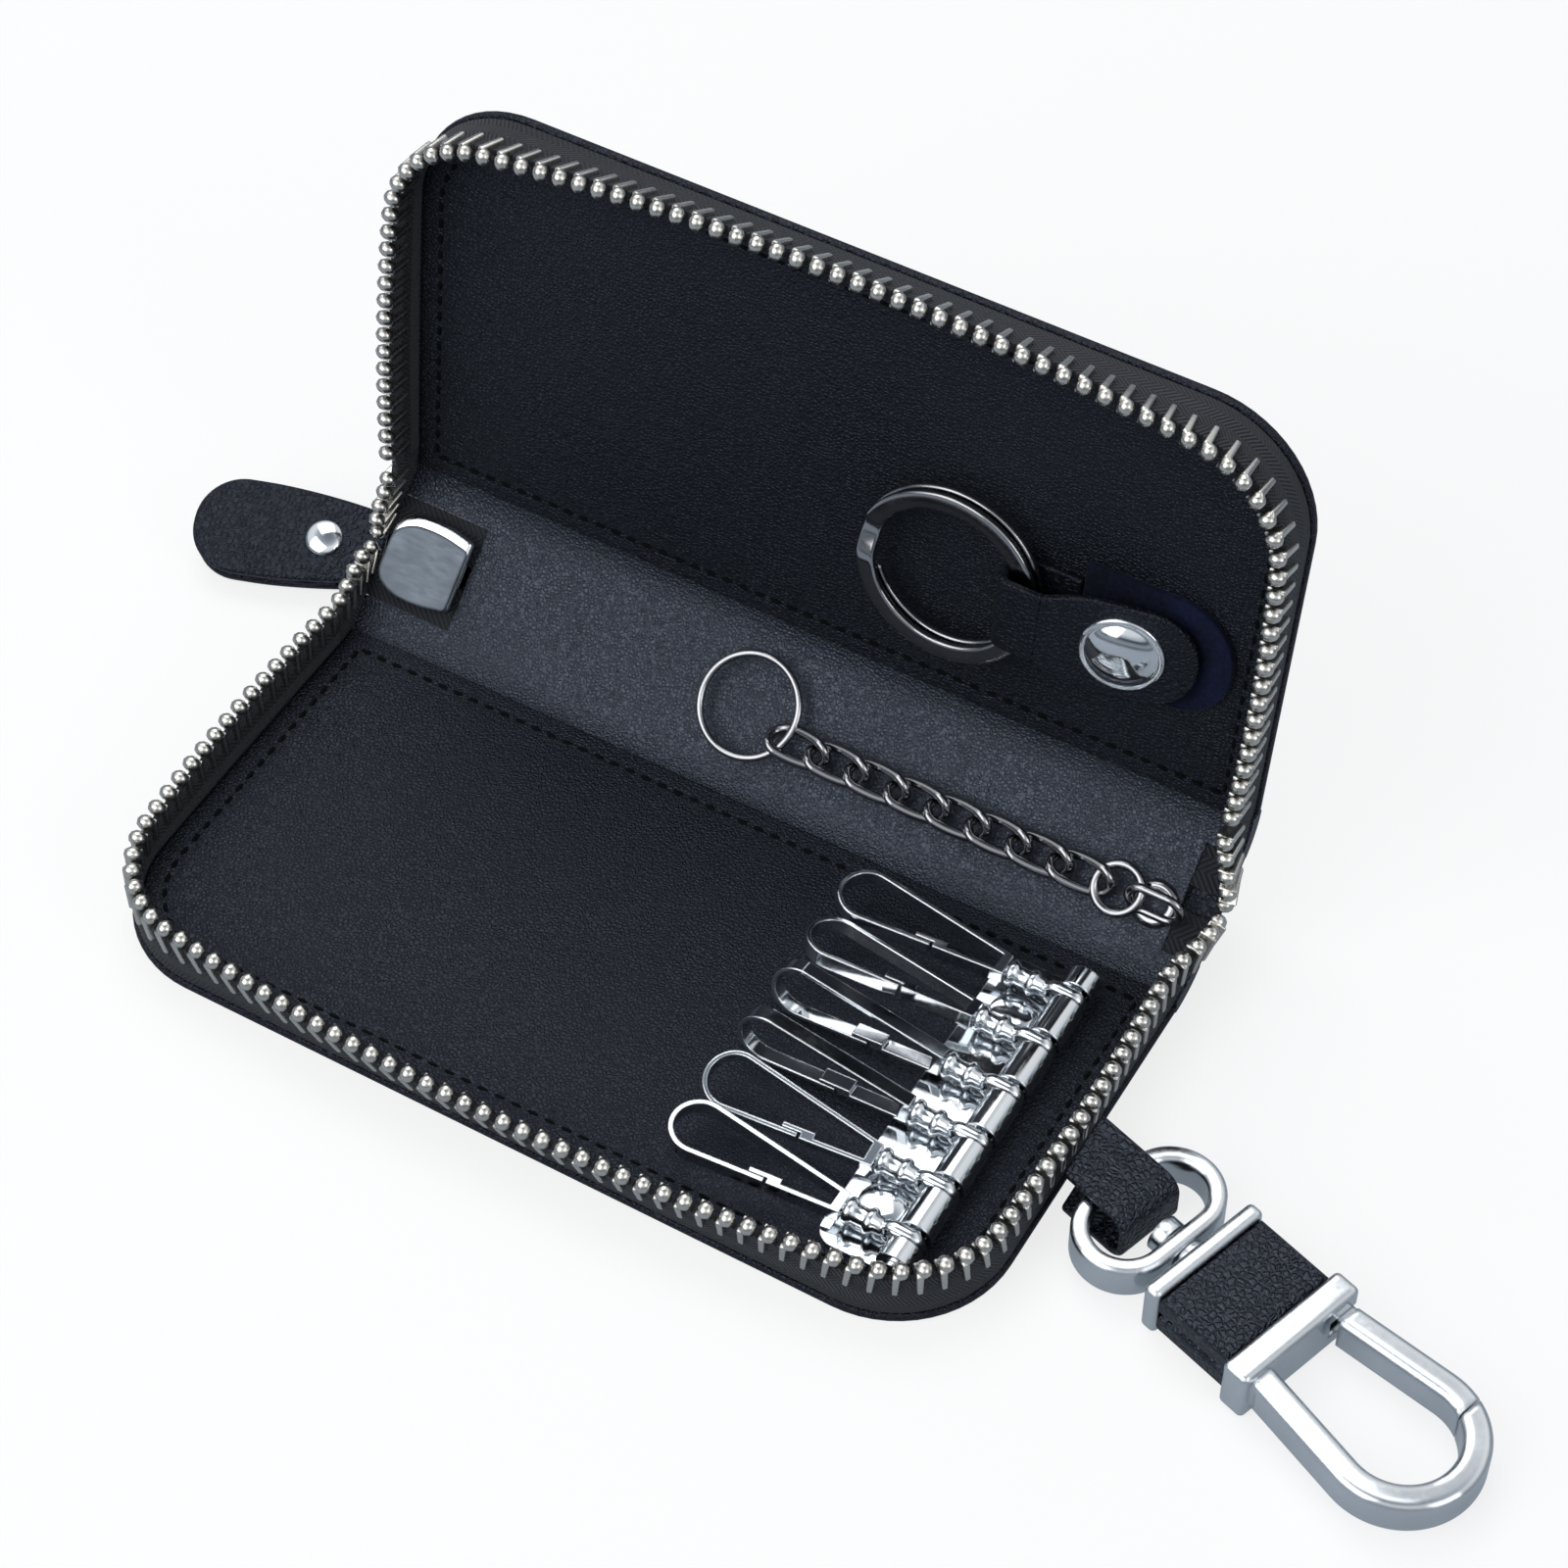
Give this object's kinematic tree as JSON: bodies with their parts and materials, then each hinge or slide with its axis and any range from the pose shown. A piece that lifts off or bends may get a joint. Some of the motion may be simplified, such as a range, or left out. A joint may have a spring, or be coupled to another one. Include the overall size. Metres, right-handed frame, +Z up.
{
  "type": "zip key case",
  "caption": "Zip-round leather key case, open, with snap hooks on a bar, a split ring in a snap strap, a chain with a wire ring and a swivel clasp on its end.",
  "frame": {"origin": "middle of the lower cover's underside, on the table", "axes": "+X along the spine towards the clasp, +Y from the front edge to the spine, +Z up"},
  "size_m": [0.2033, 0.0877, 0.078],
  "materials": {
    "black_leather": "grained",
    "stiff_board": "matte",
    "black_tape": "woven",
    "navy_suede": "suede",
    "bright_nickel": "polished",
    "satin_nickel": "satin",
    "dark_nickel": "polished"
  },
  "bodies": {
    "case_lower": {"lower_cover": "black_leather", "lower_board": "stiff_board", "lower_lining": "black_leather", "lower_zip_tape": "black_tape", "lower_zip_teeth": "bright_nickel", "lower_fold": "black_leather", "lower_gussets": "black_tape", "hook_plate": "bright_nickel", "hook_rod": "bright_nickel", "hook_plate_rivets": "bright_nickel", "clasp_strap": "black_leather"},
    "case_spine": {"spine_cover": "black_leather", "spine_lining": "black_leather", "zip_tails": "black_tape", "upper_fold": "black_leather", "upper_gussets": "black_tape", "chain_anchor": "dark_nickel"},
    "case_upper": {"upper_cover": "black_leather", "upper_board": "stiff_board", "upper_lining": "black_leather", "upper_zip_tape": "black_tape", "upper_zip_teeth": "bright_nickel", "ring_strap_loop": "black_leather", "ring_strap_backing": "navy_suede", "snap_stud": "bright_nickel"},
    "strap_flap": {"ring_strap_flap": "black_leather", "snap_cap": "bright_nickel"},
    "split_ring": {"split_ring": "dark_nickel"},
    "slider": {"zip_slider": "satin_nickel"},
    "pull": {"zip_bail": "bright_nickel", "zip_pull_tab": "black_leather", "pull_rivet": "bright_nickel"},
    "jump_ring": {"chain_jump_ring": "dark_nickel"},
    "key_ring": {"wire_key_ring": "dark_nickel"},
    "oval_link": {"oval_link": "bright_nickel"},
    "clasp": {"swivel_post": "bright_nickel", "clasp_frame": "bright_nickel", "clasp_leather": "black_leather", "gate_pin": "bright_nickel"},
    "gate": {"clasp_gate": "bright_nickel"},
    "hook_1_swivel": {"hook_1_shackle": "bright_nickel"},
    "hook_1": {"hook_1_snap": "bright_nickel"},
    "hook_2_swivel": {"hook_2_shackle": "bright_nickel"},
    "hook_2": {"hook_2_snap": "bright_nickel"},
    "hook_3_swivel": {"hook_3_shackle": "bright_nickel"},
    "hook_3": {"hook_3_snap": "bright_nickel"},
    "hook_4_swivel": {"hook_4_shackle": "bright_nickel"},
    "hook_4": {"hook_4_snap": "bright_nickel"},
    "hook_5_swivel": {"hook_5_shackle": "bright_nickel"},
    "hook_5": {"hook_5_snap": "bright_nickel"},
    "hook_6_swivel": {"hook_6_shackle": "bright_nickel"},
    "hook_6": {"hook_6_snap": "bright_nickel"},
    "chain_1": {"chain_link_1": "dark_nickel"},
    "chain_2": {"chain_link_2": "dark_nickel"},
    "chain_3": {"chain_link_3": "dark_nickel"},
    "chain_4": {"chain_link_4": "dark_nickel"},
    "chain_5": {"chain_link_5": "dark_nickel"},
    "chain_6": {"chain_link_6": "dark_nickel"},
    "chain_7": {"chain_link_7": "dark_nickel"},
    "chain_8": {"chain_link_8": "dark_nickel"}
  },
  "joints": [
    {"name": "spine_fold", "type": "hinge", "parent": "case_lower", "child": "case_spine", "pos_m": [0, 0.03, 0], "axis": [1, 0, 0], "range_deg": [-41, 49], "deforming": ["lower_fold", "lower_gussets"]},
    {"name": "upper_fold", "type": "hinge", "parent": "case_spine", "child": "case_upper", "pos_m": [0, 0.04585, 0.01378], "axis": [1, 0, 0], "range_deg": [-41, 49], "deforming": ["upper_fold", "upper_gussets"]},
    {"name": "slider_slide", "type": "slide", "parent": "case_spine", "child": "slider", "axis": [1, 0, 0], "range_m": [-0.001, 0]},
    {"name": "pull_swing", "type": "hinge", "parent": "slider", "child": "pull", "pos_m": [-0.0555, 0.03999, 0.00451], "axis": [0, 0.7547, 0.6561], "range_deg": [-50, 0]},
    {"name": "ring_flap_open", "type": "hinge", "parent": "case_upper", "child": "strap_flap", "pos_m": [0.03155, 0.03995, 0.03935], "axis": [0, 0.1392, 0.9903], "range_deg": [-85, 0]},
    {"name": "ring_swing", "type": "hinge", "parent": "case_upper", "child": "split_ring", "pos_m": [0.02905, 0.04312, 0.0389], "axis": [0, -0.1392, -0.9903], "range_deg": [-25, 0]},
    {"name": "hook_1_swing", "type": "hinge", "parent": "case_lower", "child": "hook_1_swivel", "pos_m": [0.0495, 0.018, 0.0054], "axis": [0, -1, 0], "range_deg": [-100, 0]},
    {"name": "hook_1_spin", "type": "hinge", "parent": "hook_1_swivel", "child": "hook_1", "pos_m": [0.04122, 0.018, 0.00598], "axis": [-0.9976, 0, 0.0698], "continuous": true},
    {"name": "hook_2_swing", "type": "hinge", "parent": "case_lower", "child": "hook_2_swivel", "pos_m": [0.0495, 0.0102, 0.0054], "axis": [0, -1, 0], "range_deg": [-100, 0]},
    {"name": "hook_2_spin", "type": "hinge", "parent": "hook_2_swivel", "child": "hook_2", "pos_m": [0.04122, 0.0102, 0.00598], "axis": [-0.9976, 0, 0.0698], "continuous": true},
    {"name": "hook_3_swing", "type": "hinge", "parent": "case_lower", "child": "hook_3_swivel", "pos_m": [0.0495, 0.0024, 0.0054], "axis": [0, -1, 0], "range_deg": [-100, 0]},
    {"name": "hook_3_spin", "type": "hinge", "parent": "hook_3_swivel", "child": "hook_3", "pos_m": [0.04122, 0.0024, 0.00598], "axis": [-0.9976, 0, 0.0698], "continuous": true},
    {"name": "hook_4_swing", "type": "hinge", "parent": "case_lower", "child": "hook_4_swivel", "pos_m": [0.0495, -0.0054, 0.0054], "axis": [0, -1, 0], "range_deg": [-100, 0]},
    {"name": "hook_4_spin", "type": "hinge", "parent": "hook_4_swivel", "child": "hook_4", "pos_m": [0.04122, -0.0054, 0.00598], "axis": [-0.9976, 0, 0.0698], "continuous": true},
    {"name": "hook_5_swing", "type": "hinge", "parent": "case_lower", "child": "hook_5_swivel", "pos_m": [0.0495, -0.0132, 0.0054], "axis": [0, -1, 0], "range_deg": [-100, 0]},
    {"name": "hook_5_spin", "type": "hinge", "parent": "hook_5_swivel", "child": "hook_5", "pos_m": [0.04122, -0.0132, 0.00598], "axis": [-0.9976, 0, 0.0698], "continuous": true},
    {"name": "hook_6_swing", "type": "hinge", "parent": "case_lower", "child": "hook_6_swivel", "pos_m": [0.0495, -0.021, 0.0054], "axis": [0, -1, 0], "range_deg": [-100, 0]},
    {"name": "hook_6_spin", "type": "hinge", "parent": "hook_6_swivel", "child": "hook_6", "pos_m": [0.04122, -0.021, 0.00598], "axis": [-0.9976, 0, 0.0698], "continuous": true},
    {"name": "jump_ring_swing", "type": "hinge", "parent": "case_spine", "child": "jump_ring", "pos_m": [0.0497, 0.03354, 0.00858], "axis": [0, -0.7547, -0.6561], "range_deg": [-15, 0]},
    {"name": "chain_1_swing", "type": "hinge", "parent": "jump_ring", "child": "chain_1", "pos_m": [0.0453, 0.03354, 0.00858], "axis": [0, -0.7547, -0.6561], "range_deg": [-15, 0]},
    {"name": "chain_2_swing", "type": "hinge", "parent": "chain_1", "child": "chain_2", "pos_m": [0.03985, 0.03354, 0.00858], "axis": [0, -0.7547, -0.6561], "range_deg": [-20, 0]},
    {"name": "chain_3_swing", "type": "hinge", "parent": "chain_2", "child": "chain_3", "pos_m": [0.03425, 0.03354, 0.00858], "axis": [0, -0.7547, -0.6561], "range_deg": [-20, 0]},
    {"name": "chain_4_swing", "type": "hinge", "parent": "chain_3", "child": "chain_4", "pos_m": [0.02865, 0.03354, 0.00858], "axis": [0, -0.7547, -0.6561], "range_deg": [-20, 0]},
    {"name": "chain_5_swing", "type": "hinge", "parent": "chain_4", "child": "chain_5", "pos_m": [0.02305, 0.03354, 0.00858], "axis": [0, -0.7547, -0.6561], "range_deg": [-20, 0]},
    {"name": "chain_6_swing", "type": "hinge", "parent": "chain_5", "child": "chain_6", "pos_m": [0.01745, 0.03354, 0.00858], "axis": [0, -0.7547, -0.6561], "range_deg": [-20, 0]},
    {"name": "chain_7_swing", "type": "hinge", "parent": "chain_6", "child": "chain_7", "pos_m": [0.01185, 0.03354, 0.00858], "axis": [0, -0.7547, -0.6561], "range_deg": [-20, 0]},
    {"name": "chain_8_swing", "type": "hinge", "parent": "chain_7", "child": "chain_8", "pos_m": [0.00625, 0.03354, 0.00858], "axis": [0, -0.7547, -0.6561], "range_deg": [-20, 0]},
    {"name": "key_ring_swing", "type": "hinge", "parent": "chain_8", "child": "key_ring", "pos_m": [0.0008, 0.03354, 0.00858], "axis": [0, -0.7547, -0.6561], "range_deg": [-15, 0]},
    {"name": "oval_link_swing", "type": "hinge", "parent": "case_lower", "child": "oval_link", "pos_m": [0.0661, -0.00241, 0.004], "axis": [0.309, 0.9511, 0], "range_deg": [-40, 0]},
    {"name": "clasp_swivel", "type": "hinge", "parent": "oval_link", "child": "clasp", "pos_m": [0.07694, -0.00593, 0.004], "axis": [0.9511, -0.309, 0], "continuous": true},
    {"name": "gate_open", "type": "hinge", "parent": "clasp", "child": "gate", "pos_m": [0.09442, -0.00425, 0.004], "axis": [0, 0, 1], "range_deg": [-20, 0], "stiffness_Nm_per_rad": 0.02, "springref_deg": 11.46}
  ],
  "couplings": [
    {"joint": "upper_fold", "follows": "spine_fold", "ratio": 1}
  ]
}
